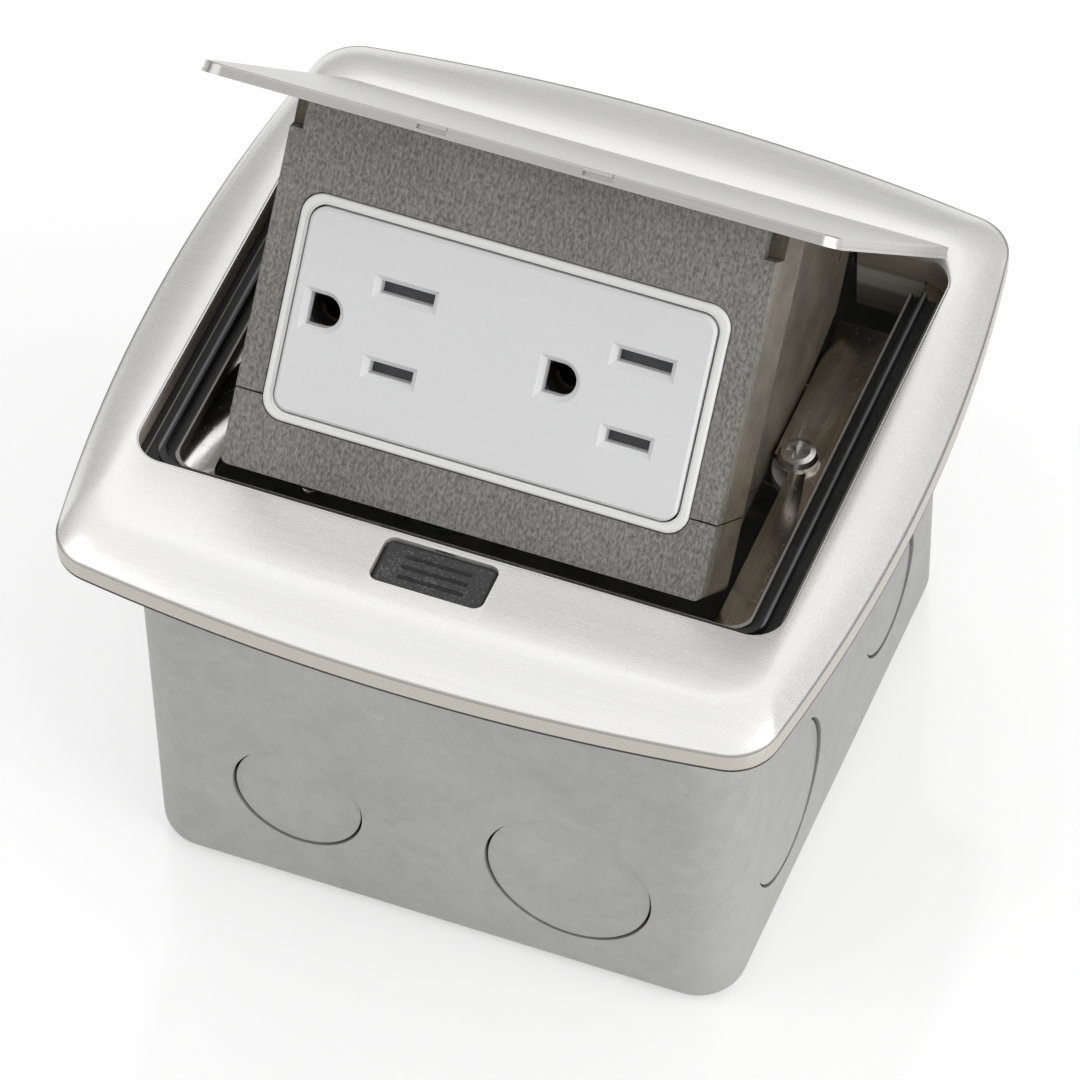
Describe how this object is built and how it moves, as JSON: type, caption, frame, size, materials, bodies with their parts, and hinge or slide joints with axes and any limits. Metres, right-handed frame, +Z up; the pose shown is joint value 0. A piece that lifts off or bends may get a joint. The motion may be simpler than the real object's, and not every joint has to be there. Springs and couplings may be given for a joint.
{
  "type": "floor socket box",
  "caption": "Recessed floor box with a flush metal flange and a hinged lid whose cast carrier tilts a duplex power outlet up out of the floor.",
  "frame": {"origin": "under the middle of the flange's outline, at the level of the back box's foot", "axes": "+Z up out of the floor, +X to the right along the lid's hinge as seen from the outlet's side, +Y from the outlet's side towards the hinge"},
  "size_m": [0.1276, 0.1242, 0.1421],
  "materials": {
    "brushed_nickel": "brushed",
    "galvanised_steel": "galvanised",
    "black_rubber": "matt",
    "black_plastic": "fine grain",
    "cast_zinc": "fine cast",
    "nickel_sheet": "bright",
    "zinc_screw": "bright",
    "white_plastic": "satin",
    "light_plastic": "satin",
    "grey_plastic": "satin",
    "brass": "satin",
    "green_screw": "satin",
    "spring_steel": "satin"
  },
  "bodies": {
    "base": {"back_box": "galvanised_steel", "box_lugs": "galvanised_steel", "ground_screw": "green_screw", "floor_gasket": "black_rubber", "top_flange": "brushed_nickel", "lid_seal": "black_rubber", "mounting_frame": "nickel_sheet", "frame_screws": "zinc_screw", "cover_screws": "zinc_screw", "hinge_bracket": "nickel_sheet", "hinge_pin": "spring_steel", "button_guide": "black_plastic", "button_spring": "spring_steel"},
    "carrier": {"lid_plate": "brushed_nickel", "carrier_face": "cast_zinc", "carrier_sill": "cast_zinc", "lid_screws": "zinc_screw", "sill_screws": "zinc_screw", "outlet_bezel": "white_plastic", "outlet_face": "light_plastic", "outlet_body": "light_plastic", "outlet_strap": "nickel_sheet", "strap_screws": "zinc_screw", "neutral_contacts": "brass", "line_contacts": "brass", "earth_contacts": "brass", "terminal_screws": "brass", "torsion_springs": "spring_steel"},
    "button": {"release_button": "black_plastic"},
    "latch": {"latch_slide": "black_plastic"},
    "left_shutter": {"shutter_left": "grey_plastic"},
    "right_shutter": {"shutter_right": "grey_plastic"}
  },
  "joints": [
    {"name": "lid_hinge", "type": "hinge", "parent": "base", "child": "carrier", "pos_m": [0, 0.0455, 0.0785], "axis": [1, 0, 0], "range_deg": [0, 47.4], "stiffness_Nm_per_rad": 0.12, "springref_deg": -103.13},
    {"name": "button_press", "type": "slide", "parent": "base", "child": "button", "axis": [0, 0, -1], "range_m": [0, 0.001], "stiffness_N_per_m": 400, "springref_m": -0.004, "deforming": ["button_spring"]},
    {"name": "latch_draw", "type": "slide", "parent": "base", "child": "latch", "axis": [0, -1, 0], "range_m": [0, 0.001]},
    {"name": "left_shutter_slide", "type": "slide", "parent": "carrier", "child": "left_shutter", "axis": [0, 0.5976, 0.8018], "range_m": [0, 0.0032], "stiffness_N_per_m": 150, "springref_m": -0.003},
    {"name": "right_shutter_slide", "type": "slide", "parent": "carrier", "child": "right_shutter", "axis": [0, 0.5976, 0.8018], "range_m": [0, 0.0032], "stiffness_N_per_m": 150, "springref_m": -0.003}
  ],
  "couplings": [
    {"joint": "latch_draw", "follows": "button_press", "ratio": 1}
  ]
}
